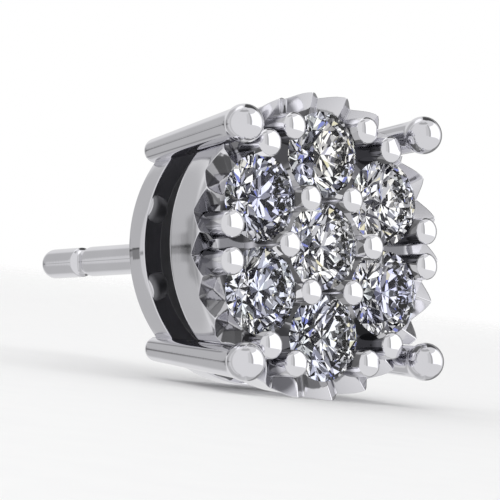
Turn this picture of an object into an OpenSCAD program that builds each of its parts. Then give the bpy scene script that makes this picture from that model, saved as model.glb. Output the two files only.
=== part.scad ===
// Cluster stud earring: seven brilliant-cut stones bead-set in a fluted cup, which four ball-tipped claws hold
// over a back ring with an ear post. Millimetres.
// The pieces are drawn in the head's own axes: X to the right and Y up across the face, Z out of the face, and
// zero in the middle of the face, level with the centres of the inner beads. lay() then turns them to the way
// that the earring lies on a table: face towards -Y, post towards +Y, resting on the cup's rim and the ring.

/* [Stones] */
// Girdle diameter of each stone
stone_d = 2.1; // [1.9:0.05:2.1]
// Distance from the middle stone's axis to the axis of each outer stone
stone_ring_r = 2.23; // [2.2:0.01:2.3]
// Height of the stones' girdles
girdle_z = -0.28; // [-0.34:0.01:-0.24]
// Thickness of the girdle
girdle_t = 0.05; // [0.03:0.01:0.08]
// Table width as a share of the girdle diameter
table_share = 0.57; // [0.53:0.01:0.62]
// Slope of the crown's main facets in degrees
crown_angle = 34.5; // [32:0.5:36]
// Slope of the pavilion's main facets in degrees
pavilion_angle = 40.75; // [39:0.25:42]
// Share of the way from table to girdle that a star facet reaches
star_share = 0.5; // [0.4:0.05:0.6]
// Share of the way from girdle to culet that a lower half facet reaches
lower_half_share = 0.78; // [0.7:0.02:0.84]

/* [Beads] */
// Radius of the six beads round the middle stone
inner_bead_r = 0.32; // [0.3:0.01:0.34]
// Distance from the axis to those beads
inner_bead_ring_r = 1.306; // [1.29:0.002:1.32]
// Radius of the twelve beads at the stones' outer edges
outer_bead_r = 0.335; // [0.31:0.005:0.35]
// Distance from the axis to those beads
outer_bead_ring_r = 3.066; // [3.04:0.002:3.08]
// Angle from the middle of each outer pair of beads to either bead
outer_bead_spread = 8.17; // [7.8:0.01:8.4]

/* [Cup] */
// Radius at the crests of the scalloped rim
rim_r = 3.75; // [3.7:0.01:3.8]
// Height of those crests
rim_z = -0.28; // [-0.32:0.01:-0.24]
// Outer radius at the bottoms of the scallops, where the wall steepens
waist_r = 3.65; // [3.62:0.01:3.66]
// Height of that waist
waist_z = -0.72; // [-0.8:0.01:-0.66]
// Outer radius at the cup's open back
cup_back_r = 3.54; // [3.5:0.01:3.54]
// Height of the open back
cup_back_z = -1.75; // [-1.9:0.01:-1.6]
// Thickness of the cup's wall
cup_wall = 0.45; // [0.4:0.01:0.5]
// Height of the seat plate's front, between the stones
plate_front_z = -0.62; // [-0.66:0.01:-0.58]
// Height of the seat plate's back
plate_back_z = -1.45; // [-1.6:0.01:-1.4]

/* [Flutes] */
// Number of flutes round the rim
flute_count = 22; // [20:2:24]
// Angle of one crest between two flutes
flute_first_crest = 77.8; // [76:0.1:80]
// Slope of a flute's two sides in degrees
flute_side = 39.5; // [36:0.5:42]
// Fall of a flute's floor towards the stones in degrees
flute_fall = 14; // [8:1:18]
// Radius that rounds a flute's floor
flute_round = 0.15; // [0.1:0.01:0.2]
// Distance from the axis to a flute's inner end
flute_in_r = 3.06; // [3.04:0.01:3.1]

/* [Basket] */
// Outer radius of the back ring at its front edge
ring_front_r = 3.37; // [3.35:0.01:3.4]
// Height of that front edge
ring_front_z = -3.02; // [-3.06:0.01:-2.9]
// Outer radius of the back ring at its back edge
ring_back_r = 3.34; // [3.3:0.01:3.35]
// Height of that back edge
ring_back_z = -3.7; // [-3.74:0.01:-3.66]
// Inner radius of the back ring
ring_in_r = 2.85; // [2.7:0.05:2.95]
// Thickness of the plate that closes the ring's back
back_plate_t = 0.3; // [0.25:0.05:0.4]
// Radius that rounds the lugs on the ring's front edge
lug_r = 0.4; // [0.34:0.02:0.44]
// Height of a lug above that edge
lug_rise = 0.23; // [0.16:0.01:0.28]
// Angle from the middle between two claws to either lug
lug_spread = 17.5; // [14:0.5:20]
// Distance from the axis to the centre of a claw's ball tip
claw_tip_r = 3.965; // [3.94:0.005:3.99]
// Height of that centre
claw_tip_z = 0.256; // [0.2:0.002:0.3]
// Radius of the ball tips
claw_ball_r = 0.47; // [0.45:0.01:0.5]
// Distance from the axis to the middle of a claw's rod inside its ball
claw_top_r = 4.01; // [3.98:0.01:4.02]
// Diameter of the rod there
claw_top_d = 0.8; // [0.76:0.02:0.8]
// Distance from the axis to the centre of a claw's rounded back end
claw_end_r = 3.47; // [3.44:0.01:3.5]
// Height of the centre of that back end
claw_end_z = -3.74; // [-3.8:0.01:-3.7]
// Diameter of the rod there
claw_end_d = 0.62; // [0.56:0.02:0.66]

/* [Post] */
// Diameter of the ear post
post_d = 0.8; // [0.75:0.01:0.9]
// Height of the post's rounded tip
post_tip_z = -12.2; // [-13:0.1:-11.6]
// Height of the middle of the friction notch
notch_z = -10.3; // [-10.6:0.1:-10]
// Depth of the notch
notch_depth = 0.1; // [0.06:0.01:0.12]
// Radius of the notch's round floor
notch_r = 0.35; // [0.3:0.01:0.4]

/* [Hidden] */
$fn = 96;
gap = 0.025;
overlap = 0.05;
far = 3;
outer_stones = 6;
claw_count = 4;
full_turn = 360;
quarter = full_turn / 4;
half_stone_step = full_turn / outer_stones / 2;
down = full_turn - quarter;

// One row for each stone: ring position, distance from the axis as a share of stone_ring_r, own turn
STONE_PLACES = [
    [0, 0, 4],
    [0, 1, 11],
    [1, 1, 26],
    [2, 1, 38],
    [3, 1, 7],
    [4, 1, 19],
    [5, 1, 31]
];
PLACE = 0;
REACH = 1;
TURN = 2;

// Stone: radii and heights that its facets share
stone_r = stone_d / 2;
facets = 8;
facet_step = full_turn / facets;
half_step = facet_step / 2;
girdle_top_z = girdle_t / 2;
girdle_low_z = -girdle_t / 2;
table_r = stone_r * table_share;
table_z = girdle_top_z + (stone_r - table_r) * tan(crown_angle);
culet_z = girdle_low_z - stone_r * tan(pavilion_angle);
table_mid_r = table_r * cos(half_step);
star_r = table_mid_r + star_share * (stone_r - table_mid_r);
star_z = table_z - (star_r * cos(half_step) - table_r) * tan(crown_angle);
lower_r = stone_r * (1 - lower_half_share);
lower_z = girdle_low_z - (stone_r - lower_r * cos(half_step)) * tan(pavilion_angle);
upper_half_slope = (star_z - girdle_top_z) / (stone_r - star_r);
seat_mouth_r = stone_r - (table_z - girdle_top_z) / upper_half_slope;

// Flutes: the V of each is placed so that neighbours meet in a crest at rim_r and rim_z
flute_step = full_turn / flute_count;
crest_half = flute_step / 2;
flute_crest_h = rim_r * sin(crest_half) * tan(flute_side) - flute_round * (1 / cos(flute_side) - 1);
flute_floor_z = rim_z - flute_crest_h / cos(flute_fall);
flute_in_z = flute_floor_z - (rim_r * cos(crest_half) - flute_in_r) * tan(flute_fall);
flute_half_w = 0.8;

// Rest: two crests of the rim touch the table in front, and whichever round edge behind them comes down first
valleys_to_bottom = floor((down - flute_first_crest) / flute_step);
bottom_valley = flute_first_crest + (valleys_to_bottom + 0.5) * flute_step;
roll = down - bottom_valley;
crest_drop = rim_r * cos(crest_half);
back_edges = [
    [waist_r, waist_z],
    [cup_back_r, cup_back_z],
    [ring_front_r, ring_front_z],
    [ring_back_r, ring_back_z]
];
tilt = min([for (edge = back_edges) atan((crest_drop - edge[0]) / (rim_z - edge[1]))]);
lift = crest_drop * cos(tilt) - rim_z * sin(tilt);
low_claw_y = claw_tip_r * sin(down - full_turn / claw_count / 2 + roll);
front_y = low_claw_y * sin(tilt) - claw_tip_z * cos(tilt) - claw_ball_r;
post_r = post_d / 2;
post_round_z = post_tip_z + post_r;
back_y = post_r - post_round_z * cos(tilt);
middle_y = (front_y + back_y) / 2;

// The way the earring lies on the table, its box's base centred on zero
module lay() {
    translate([0, -middle_y, lift])
        rotate([quarter - tilt, 0, 0])
            rotate([0, 0, roll])
                children();
}

// Corners of a ring of count points at radius r and height z, the first one at angle start
function ring_points(count, r, z, start) =
    [for (i = [0:count - 1]) let (a = start + i * full_turn / count) [r * cos(a), r * sin(a), z]];

// A round brilliant about its own axis: table, 8 stars, 8 kites, 16 upper halves, a girdle of 16 sides,
// 16 lower halves and 8 pavilion mains that meet in the culet
module brilliant() {
    sides = 2 * facets;
    table_at = 0;
    star_at = facets;
    top_at = 2 * facets;
    low_at = top_at + sides;
    lower_at = low_at + sides;
    culet_at = lower_at + facets;
    points = concat(
        ring_points(facets, table_r, table_z, 0),
        ring_points(facets, star_r, star_z, half_step),
        ring_points(sides, stone_r, girdle_top_z, 0),
        ring_points(sides, stone_r, girdle_low_z, 0),
        ring_points(facets, lower_r, lower_z, half_step),
        [[0, 0, culet_z]]
    );
    table_face = [[for (i = [facets - 1:-1:0]) table_at + i]];
    stars = [for (i = [0:facets - 1]) [table_at + i, table_at + (i + 1) % facets, star_at + i]];
    kites = [for (i = [0:facets - 1]) let (before = (i + facets - 1) % facets)
        [table_at + i, star_at + i, top_at + 2 * i, star_at + before]];
    upper_halves = [for (i = [0:sides - 1]) let (star = star_at + floor(i / 2))
        [star, top_at + (i + 1) % sides, top_at + i]];
    girdle = [for (i = [0:sides - 1]) let (next = (i + 1) % sides)
        [top_at + i, top_at + next, low_at + next, low_at + i]];
    lower_halves = [for (i = [0:sides - 1]) let (lower = lower_at + floor(i / 2))
        [lower, low_at + i, low_at + (i + 1) % sides]];
    mains = [for (i = [0:facets - 1]) let (before = (i + facets - 1) % facets)
        [culet_at, lower_at + before, low_at + 2 * i, lower_at + i]];
    polyhedron(points, concat(table_face, stars, kites, upper_halves, girdle, lower_halves, mains));
}

// Moves what follows to the place of the stone in one row of the table
module at_stone(row) {
    rotate([0, 0, half_stone_step + row[PLACE] * 2 * half_stone_step])
        translate([row[REACH] * stone_ring_r, 0, girdle_z])
            rotate([0, 0, row[TURN]])
                children();
}

module stone(index) {
    color("aliceblue")
        lay()
            at_stone(STONE_PLACES[index])
                brilliant();
}

// Space that a stone takes in the cup: its outline a gap larger, open above
module stone_seat() {
    seat_r = stone_r + gap;
    seat_floor_z = culet_z - gap / cos(pavilion_angle);
    rotate_extrude()
        polygon([
            [0, seat_floor_z],
            [seat_r, girdle_low_z - gap],
            [seat_r, girdle_top_z + gap],
            [seat_mouth_r, table_z + gap],
            [seat_mouth_r, far],
            [0, far]
        ]);
}

// A bead prong: a short stem that rises from the plate and ends in a dome
module bead(r) {
    translate([0, 0, plate_front_z - overlap])
        cylinder(h = overlap - plate_front_z, r = r);
    sphere(r = r);
}

module beads() {
    for (i = [0:outer_stones - 1]) {
        rotate([0, 0, i * 2 * half_stone_step])
            translate([inner_bead_ring_r, 0, 0])
                bead(inner_bead_r);
        for (side = [-1, 1])
            rotate([0, 0, i * 2 * half_stone_step + side * outer_bead_spread])
                translate([outer_bead_ring_r, 0, 0])
                    bead(outer_bead_r);
    }
}

// The cup before its flutes: a wall that opens forward, with the seat plate across it
module cup_body() {
    inside_r = cup_back_r - cup_wall;
    uncut_r = rim_r + overlap * (rim_r - waist_r) / (rim_z - waist_z);
    rotate_extrude()
        polygon([
            [0, plate_front_z],
            [flute_in_r, plate_front_z],
            [rim_r - overlap, rim_z + overlap],
            [uncut_r, rim_z + overlap],
            [waist_r, waist_z],
            [cup_back_r, cup_back_z],
            [inside_r, cup_back_z],
            [inside_r, plate_back_z],
            [0, plate_back_z]
        ]);
}

// One flute: a V with a rounded floor, cut along a line that rises outwards
module flute() {
    floor_side = flute_round * sin(flute_side);
    floor_top = flute_round * (1 - cos(flute_side));
    side_top = floor_top + (flute_half_w - floor_side) * tan(flute_side);
    translate([flute_in_r, 0, flute_in_z])
        rotate([0, -flute_fall, 0])
            rotate([quarter, 0, quarter])
                linear_extrude(rim_r) {
                    translate([0, flute_round])
                        circle(r = flute_round);
                    polygon([
                        [-floor_side, floor_top],
                        [floor_side, floor_top],
                        [flute_half_w, side_top],
                        [-flute_half_w, side_top]
                    ]);
                }
}

// One claw: a rod that leans out from its rounded back end, and the ball tip that laps over the cup's rim,
// both grown all round by the given amount
module claw(grow) {
    lean = atan2(claw_top_r - claw_end_r, claw_tip_z - claw_end_z);
    length = norm([claw_top_r - claw_end_r, claw_tip_z - claw_end_z]);
    translate([claw_end_r, 0, claw_end_z]) {
        rotate([0, lean, 0])
            cylinder(h = length, r1 = claw_end_d / 2 + grow, r2 = claw_top_d / 2 + grow);
        sphere(r = claw_end_d / 2 + grow);
    }
    translate([claw_tip_r, 0, claw_tip_z])
        sphere(r = claw_ball_r + grow);
}

module claws(grow) {
    for (i = [0:claw_count - 1])
        rotate([0, 0, (i + 0.5) * full_turn / claw_count])
            claw(grow);
}

module cluster_cup() {
    color("gainsboro")
        lay()
            difference() {
                union() {
                    difference() {
                        cup_body();
                        for (i = [0:flute_count - 1])
                            rotate([0, 0, flute_first_crest + (i + 0.5) * flute_step])
                                flute();
                    }
                    beads();
                }
                for (row = STONE_PLACES)
                    at_stone(row)
                        stone_seat();
                claws(gap);
            }
}

// A pair of rounded lugs between each two claws, which carry the ring's wall on past its front edge
module lugs() {
    lug_depth = ring_front_r - ring_in_r - 2 * gap;
    intersection() {
        rotate_extrude()
            translate([ring_in_r + gap, ring_front_z - lug_r])
                square([lug_depth, 2 * lug_r]);
        for (i = [0:claw_count - 1], side = [-1, 1])
            rotate([0, 0, i * full_turn / claw_count + side * lug_spread])
                translate([ring_in_r, 0, ring_front_z + lug_rise - lug_r])
                    rotate([0, quarter, 0])
                        cylinder(h = lug_depth + overlap, r = lug_r);
    }
}

// The back ring with the plate that closes its back
module back_ring() {
    plate_z = ring_back_z + back_plate_t;
    rotate_extrude()
        polygon([
            [0, plate_z],
            [ring_in_r, plate_z],
            [ring_in_r, ring_front_z],
            [ring_front_r, ring_front_z],
            [ring_back_r, ring_back_z],
            [0, ring_back_z]
        ]);
}

// The ear post with its friction notch and rounded tip
module post() {
    difference() {
        union() {
            translate([0, 0, post_round_z])
                cylinder(h = ring_back_z + back_plate_t / 2 - post_round_z, r = post_r);
            translate([0, 0, post_round_z])
                sphere(r = post_r);
        }
        translate([0, 0, notch_z])
            rotate_extrude()
                translate([post_r - notch_depth + notch_r, 0])
                    circle(r = notch_r);
    }
}

module basket() {
    color("silver")
        lay() {
            back_ring();
            lugs();
            post();
            claws(0);
        }
}

cluster_cup();
basket();
stone(0);  // stone_center
stone(1);  // stone_1
stone(2);  // stone_2
stone(3);  // stone_3
stone(4);  // stone_4
stone(5);  // stone_5
stone(6);  // stone_6
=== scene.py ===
import bpy
import numpy as np
from mathutils import Matrix, Vector


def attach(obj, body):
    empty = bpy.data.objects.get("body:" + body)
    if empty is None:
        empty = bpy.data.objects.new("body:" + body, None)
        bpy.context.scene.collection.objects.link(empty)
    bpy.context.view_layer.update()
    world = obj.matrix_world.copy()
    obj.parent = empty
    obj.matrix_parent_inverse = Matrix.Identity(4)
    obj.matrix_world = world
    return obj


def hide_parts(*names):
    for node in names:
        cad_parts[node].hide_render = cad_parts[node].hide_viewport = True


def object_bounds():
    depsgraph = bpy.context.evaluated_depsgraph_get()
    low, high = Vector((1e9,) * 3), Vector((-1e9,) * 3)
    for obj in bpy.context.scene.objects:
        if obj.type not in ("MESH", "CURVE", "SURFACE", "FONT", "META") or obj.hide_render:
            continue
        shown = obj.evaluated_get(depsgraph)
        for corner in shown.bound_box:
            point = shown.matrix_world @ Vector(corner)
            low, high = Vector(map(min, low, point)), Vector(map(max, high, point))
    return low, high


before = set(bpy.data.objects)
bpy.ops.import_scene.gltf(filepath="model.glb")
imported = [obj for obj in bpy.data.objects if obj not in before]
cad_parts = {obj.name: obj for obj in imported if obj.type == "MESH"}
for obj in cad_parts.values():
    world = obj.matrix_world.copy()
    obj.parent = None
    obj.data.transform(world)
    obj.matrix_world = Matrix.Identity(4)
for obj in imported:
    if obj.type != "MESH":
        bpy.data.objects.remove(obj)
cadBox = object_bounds()
turn = 2 * np.pi
far = 99.0  # a reach in millimetres that nothing limits

# Shapes are worked out in the head's own axes, in millimetres: X right and Y up across the face, Z out of
# the face, zero in its middle, level with the centres of the inner beads. layDown turns them to the way the
# earring lies on the table, in metres. lie: degrees, and millimetres.
lie = {"roll": 4.018182, "tilt": 6.204959, "lift": 3.720349, "middle": 5.541422}


def turnAbout(axis, degrees):
    # the 3 x 3 turn by an angle about X, Y or Z
    return np.array(Matrix.Rotation(np.radians(degrees), 3, axis))


layTurn = turnAbout("X", 90 - lie["tilt"]) @ turnAbout("Z", lie["roll"])
layShift = np.array([0, -lie["middle"], lie["lift"]])


def layDown(points):
    # row = layTurn . p + layShift, from millimetres to metres
    return (np.asarray(points, float) @ layTurn.T + layShift) / 1000


def ringFaces(rows, columns):
    # a stack of rings -> quads between the rings, with the last column joined to the first, and a fan of
    # triangles from one added point at either end
    at = np.arange(rows * columns).reshape(rows, columns)
    beside = np.roll(at, -1, axis=1)
    quads = np.stack([at[:-1], beside[:-1], beside[1:], at[1:]], axis=-1).reshape(-1, 4)
    low, high = rows * columns, rows * columns + 1
    fans = np.concatenate([
        np.stack([np.full(columns, low), beside[0], at[0]], axis=-1),
        np.stack([np.full(columns, high), at[-1], beside[-1]], axis=-1)])
    return quads, fans


def addObject(name, data):
    holder = bpy.data.objects.new(name, data)
    bpy.context.collection.objects.link(holder)
    return holder


def shellMesh(name, shells, rowFinish=None, attributes=None):
    # shells: array (shells, rows, columns, 3) of closed forms, each a stack of rings; rowFinish: the finish
    # index of each band between two rings; attributes: point values (shells, rows, columns) by name
    shells = np.asarray(shells, float)
    count, rows, columns, _ = shells.shape
    ends = np.stack([shells[:, 0].mean(axis=1), shells[:, -1].mean(axis=1)], axis=1)
    points = np.concatenate([shells.reshape(count, -1, 3), ends], axis=1)
    quads, fans = ringFaces(rows, columns)
    # volume = the sum of (a x b) . c over the triangles; where it is negative, all faces turn over
    p = points[0]
    a, b, c, d = (p[quads[:, i]] for i in range(4))
    volume = (np.cross(a, b) * c).sum() + (np.cross(a, c) * d).sum()
    a, b, c = (p[fans[:, i]] for i in range(3))
    volume += (np.cross(a, b) * c).sum()
    if volume < 0:
        quads, fans = quads[:, ::-1], fans[:, ::-1]
    step = points.shape[1]
    offsets = (np.arange(count) * step)[:, None, None]
    quadsAll = (quads[None] + offsets).reshape(-1, 4)
    fansAll = (fans[None] + offsets).reshape(-1, 3)
    loops = np.concatenate([quadsAll.ravel(), fansAll.ravel()]).astype(np.int32)
    sizes = np.concatenate([np.full(len(quadsAll), 4), np.full(len(fansAll), 3)])
    starts = np.concatenate([[0], np.cumsum(sizes)[:-1]]).astype(np.int32)
    mesh = bpy.data.meshes.new(name)
    flat = layDown(points.reshape(-1, 3))
    mesh.vertices.add(len(flat))
    mesh.vertices.foreach_set("co", flat.astype(np.float32).ravel())
    mesh.loops.add(len(loops))
    mesh.loops.foreach_set("vertex_index", loops)
    mesh.polygons.add(len(sizes))
    mesh.polygons.foreach_set("loop_start", starts)
    mesh.polygons.foreach_set("use_smooth", np.ones(len(sizes), bool))
    if rowFinish is not None:
        bands = np.tile(np.repeat(np.asarray(rowFinish), columns), count)
        endBands = np.tile(np.repeat([rowFinish[0], rowFinish[-1]], columns), count)
        mesh.polygons.foreach_set("material_index", np.concatenate([bands, endBands]).astype(np.int32))
    mesh.update(calc_edges=True)
    mesh.validate()
    for key, values in (attributes or {}).items():
        values = np.asarray(values, float)
        middle = np.stack([values[:, 0].mean(axis=1), values[:, -1].mean(axis=1)], axis=1)
        full = np.concatenate([values.reshape(count, -1), middle], axis=1).ravel()
        mesh.attributes.new(key, "FLOAT", "POINT").data.foreach_set("value", full.astype(np.float32))
    return addObject(name, mesh)


def finishPiece(piece, nodeNames, finishes):
    for finish in finishes:
        piece.data.materials.append(finish)
    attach(piece, "root")
    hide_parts(*nodeNames)
    print("made", piece.name, "with", len(piece.data.polygons), "faces")


def softMin(a, b, blend):
    # (a + b - sqrt((a - b)^2 + blend^2)) / 2: the lower of two heights with a rounded edge
    return (a + b - np.sqrt((a - b) ** 2 + blend ** 2)) / 2


def softMax(a, b, blend):
    return -softMin(-a, -b, blend)


def lathe(profile, columns):
    # profile (rows, 2) of radius and height -> one shell turned about Z
    angles = np.arange(columns) * turn / columns
    r, z = profile[:, 0], profile[:, 1]
    return np.stack([r[:, None] * np.cos(angles), r[:, None] * np.sin(angles),
                     np.repeat(z[:, None], columns, axis=1)], axis=-1)[None]


def roundedProfile(corners, radii, steps):
    # a broken line with each inner corner c replaced by the curve (1-t)^2 a + 2t(1-t) c + t^2 b, where a and
    # b lie a radius away from c on its two sides
    corners = np.asarray(corners, float)
    t = np.linspace(0, 1, steps)[:, None]
    parts = [corners[:1]]
    for before, c, after, radius in zip(corners[:-2], corners[1:-1], corners[2:], radii):
        a = c + (before - c) / np.linalg.norm(before - c) * radius
        b = c + (after - c) / np.linalg.norm(after - c) * radius
        parts.append((1 - t) ** 2 * a + 2 * t * (1 - t) * c + t ** 2 * b)
    parts.append(corners[-1:])
    return np.concatenate(parts)


def refined(profile, longest):
    # adds points so that no stretch of a profile is longer than the given length
    parts = []
    for a, b in zip(profile[:-1], profile[1:]):
        count = max(1, int(np.ceil(np.linalg.norm(b - a) / longest)))
        parts.append(a + (b - a) * (np.arange(count) / count)[:, None])
    return np.concatenate(parts + [profile[-1:]])


# Node helpers
def addNode(tree, kind, **values):
    node = tree.nodes.new(kind)
    for key, value in values.items():
        if key == "inputs":
            for socket, number in value.items():
                node.inputs[socket].default_value = number
        else:
            setattr(node, key, value)
    return node


def mathNode(tree, operation, *inputs):
    node = addNode(tree, "ShaderNodeMath", operation=operation)
    for i, value in enumerate(inputs):
        if isinstance(value, (int, float)):
            node.inputs[i].default_value = value
        else:
            tree.links.new(value, node.inputs[i])
    return node.outputs[0]


# Polished metal: fine wheel marks and a soft change of tone, with sizes in millimetres
marking = {
    # the marks are drawn out along Z, and span is the part of their noise that changes the roughness
    "squeeze": (1, 1, 0.12), "span": (0.3, 0.7),
    # the bump's depth, in metres
    "bumpDepth": 0.00001}


def buildPolish():
    group = bpy.data.node_groups.new("polishMarks", "ShaderNodeTree")
    for name, kind in [("Place", "NodeSocketVector"), ("Mark Size", "NodeSocketFloat"),
                       ("Tone Size", "NodeSocketFloat")]:
        group.interface.new_socket(name, in_out="INPUT", socket_type=kind)
    for name in ("Tone", "Marks"):
        group.interface.new_socket(name, in_out="OUTPUT", socket_type="NodeSocketFloat")
    inside = addNode(group, "NodeGroupInput")
    out = addNode(group, "NodeGroupOutput")
    link = group.links.new
    inMillimetres = addNode(group, "ShaderNodeVectorMath", operation="SCALE", inputs={"Scale": 1000})
    link(inside.outputs["Place"], inMillimetres.inputs[0])
    stretched = addNode(group, "ShaderNodeVectorMath", operation="MULTIPLY", inputs={1: marking["squeeze"]})
    link(inMillimetres.outputs[0], stretched.inputs[0])
    marks = addNode(group, "ShaderNodeTexNoise", inputs={"Detail": 3, "Roughness": 0.6})
    link(stretched.outputs[0], marks.inputs["Vector"])
    link(mathNode(group, "DIVIDE", 1.0, inside.outputs["Mark Size"]), marks.inputs["Scale"])
    tone = addNode(group, "ShaderNodeTexNoise", inputs={"Detail": 2, "Roughness": 0.5})
    link(inMillimetres.outputs[0], tone.inputs["Vector"])
    link(mathNode(group, "DIVIDE", 1.0, inside.outputs["Tone Size"]), tone.inputs["Scale"])
    link(tone.outputs["Fac"], out.inputs["Tone"])
    link(marks.outputs["Fac"], out.inputs["Marks"])
    return group


polishMarks = buildPolish()


def metalFinish(name, look):
    # white gold: the tone varies the colour, the wheel marks vary the roughness and lift a fine bump, and the
    # piece's painted shading value (painted shade and painted dark reflections) leads the colour to a deeper
    # one
    finish = bpy.data.materials.new(name)
    finish.use_nodes = True
    tree = finish.node_tree
    tree.nodes.clear()
    link = tree.links.new
    out = addNode(tree, "ShaderNodeOutputMaterial")
    shader = addNode(tree, "ShaderNodeBsdfPrincipled", inputs={"Metallic": 1.0})
    link(shader.outputs[0], out.inputs["Surface"])
    place = addNode(tree, "ShaderNodeTexCoord")
    marks = addNode(tree, "ShaderNodeGroup", node_tree=polishMarks,
                    inputs={"Mark Size": look["markSize"], "Tone Size": look["toneSize"]})
    link(place.outputs["Object"], marks.inputs["Place"])
    colour = addNode(tree, "ShaderNodeMix", data_type="RGBA",
                     inputs={"A": (*look["dark"], 1), "B": (*look["light"], 1)})
    link(marks.outputs["Tone"], colour.inputs["Factor"])
    # painted shade: this attribute darkens recesses and painted lines toward the deep colour
    paintedShading = addNode(tree, "ShaderNodeAttribute", attribute_name="paintedShading")
    shaded = addNode(tree, "ShaderNodeMix", data_type="RGBA", inputs={"B": (*look["deep"], 1)})
    link(mathNode(tree, "MULTIPLY", paintedShading.outputs["Fac"], look["paintedShadingStrength"]), shaded.inputs["Factor"])
    link(colour.outputs["Result"], shaded.inputs["A"])
    link(shaded.outputs["Result"], shader.inputs["Base Color"])
    rough = addNode(tree, "ShaderNodeMapRange",
                    inputs={"From Min": marking["span"][0], "From Max": marking["span"][1],
                            "To Min": look["rough"][0], "To Max": look["rough"][1]})
    link(marks.outputs["Marks"], rough.inputs["Value"])
    link(rough.outputs[0], shader.inputs["Roughness"])
    bump = addNode(tree, "ShaderNodeBump",
                   inputs={"Strength": look["bump"], "Distance": marking["bumpDepth"]})
    link(marks.outputs["Marks"], bump.inputs["Height"])
    link(bump.outputs[0], shader.inputs["Normal"])
    return finish


cupPolish = metalFinish("cupPolish", {
    "deep": (0.12, 0.12, 0.134), "dark": (0.78, 0.776, 0.812), "light": (0.88, 0.876, 0.915),
    "markSize": 0.06, "toneSize": 1.5, "rough": (0.07, 0.12), "bump": 0.05, "paintedShadingStrength": 1.0})
beadPolish = metalFinish("beadPolish", {
    "deep": (0.13, 0.13, 0.142), "dark": (0.80, 0.797, 0.828), "light": (0.90, 0.897, 0.93),
    "markSize": 0.04, "toneSize": 0.6, "rough": (0.015, 0.035), "bump": 0.03, "paintedShadingStrength": 0.85})
basketPolish = metalFinish("basketPolish", {
    "deep": (0.22, 0.22, 0.24), "dark": (0.76, 0.756, 0.792), "light": (0.87, 0.866, 0.905),
    "markSize": 0.06, "toneSize": 1.5, "rough": (0.02, 0.05), "bump": 0.05, "paintedShadingStrength": 0.8})
# rough cast metal painted dark: painted shade inside the back and the ring and on the lugs' sides
shadedCastSkin = metalFinish("shadedCastSkin", {
    "deep": (0.10, 0.10, 0.11), "dark": (0.22, 0.22, 0.235), "light": (0.34, 0.34, 0.36),
    "markSize": 0.12, "toneSize": 0.8, "rough": (0.45, 0.65), "bump": 0.3, "paintedShadingStrength": 0.8})


def stoneFinish(look):
    # clear stone: each facet has a faint painted tint standing in for the fire of dispersed light, kept as a
    # face colour
    finish = bpy.data.materials.new("brilliantStone")
    finish.use_nodes = True
    tree = finish.node_tree
    tree.nodes.clear()
    out = addNode(tree, "ShaderNodeOutputMaterial")
    link = tree.links.new
    shader = addNode(tree, "ShaderNodeBsdfPrincipled",
                     inputs={"Metallic": 0.0, "Roughness": 0.0, "IOR": look["ior"], "Emission Strength": 1.0,
                             "Transmission Weight": 1.0, "Specular Tint": (*look["glint"], 1)})
    rays = addNode(tree, "ShaderNodeLightPath")
    side = addNode(tree, "ShaderNodeNewGeometry")
    front = mathNode(tree, "SUBTRACT", 1.0, side.outputs["Backfacing"])
    mirrored = mathNode(tree, "MULTIPLY", rays.outputs["Is Glossy Ray"], front)
    # painted reflection: seen in the metal, a stone's tint turns black and each facet glows a plain grey in
    # its place
    for layer, shown, other, target in [("fire", "A", "B", "Base Color"),
                                        ("glimmer", "B", "A", "Emission Color")]:
        value = addNode(tree, "ShaderNodeAttribute", attribute_name=layer)
        mixed = addNode(tree, "ShaderNodeMix", data_type="RGBA", inputs={other: (0, 0, 0, 1)})
        link(mirrored, mixed.inputs["Factor"])
        link(value.outputs["Color"], mixed.inputs[shown])
        link(mixed.outputs["Result"], shader.inputs[target])
    link(shader.outputs[0], out.inputs["Surface"])
    return finish


brilliantStone = stoneFinish({"ior": 2.42, "glint": (0.12, 0.12, 0.12)})
print("finishes ready")

# Stones: round brilliants, table up, with lengths in millimetres and slopes in degrees
stones = {
    "radius": 1.05, "ringRadius": 2.23, "girdleHeight": -0.28, "girdleThick": 0.05, "tableShare": 0.57,
    "crownSlope": 34.5, "pavilionSlope": 40.75, "starShare": 0.5, "lowerHalfShare": 0.78, "arcSteps": 6,
    "gap": 0.025, "firstAt": 30, "apart": 60, "tintSeed": 11, "glimmerSeed": 31, "glimmerFrom": 0.10,
    "glimmerSpan": 0.80,
    # each stone: its place round the ring, 0 in the middle or 1 on the ring, and its turn about its own axis
    "places": [[0, 0, 4], [0, 1, 11], [1, 1, 26], [2, 1, 38], [3, 1, 7], [4, 1, 19], [5, 1, 31]],
    "nodes": ["stone_center", "stone_1", "stone_2", "stone_3", "stone_4", "stone_5", "stone_6"]}


def stoneHeights():
    # crown z = table - (r - tableR) tan(crown), pavilion z = -(girdle / 2) - (R - r) tan(pavilion), with r
    # measured square to each facet
    radius, half = stones["radius"], stones["girdleThick"] / 2
    crown, pavilion = np.tan(np.radians([stones["crownSlope"], stones["pavilionSlope"]]))
    flat = np.cos(turn / 16)
    tableR = radius * stones["tableShare"]
    tableZ = half + (radius - tableR) * crown
    starR = tableR * flat + stones["starShare"] * (radius - tableR * flat)
    starZ = tableZ - (starR * flat - tableR) * crown
    lowerR = radius * (1 - stones["lowerHalfShare"])
    lowerZ = -half - (radius - lowerR * flat) * pavilion
    culetZ = -half - radius * pavilion
    return tableR, tableZ, starR, starZ, lowerR, lowerZ, culetZ


tableR, tableZ, starR, starZ, lowerR, lowerZ, culetZ = stoneHeights()
upperSlope = (starZ - stones["girdleThick"] / 2) / (stones["radius"] - starR)
seatR = stones["radius"] + stones["gap"]
mouthR = stones["radius"] - (tableZ - stones["girdleThick"] / 2) / upperSlope
seatAngle = np.radians(stones["pavilionSlope"])
seatZ = stones["girdleHeight"] + culetZ - stones["gap"] / np.cos(seatAngle)


def ringOf(count, radius, start=0.0):
    angles = start + np.arange(count) * turn / count
    return np.stack([radius * np.cos(angles), radius * np.sin(angles)], axis=-1)


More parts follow.
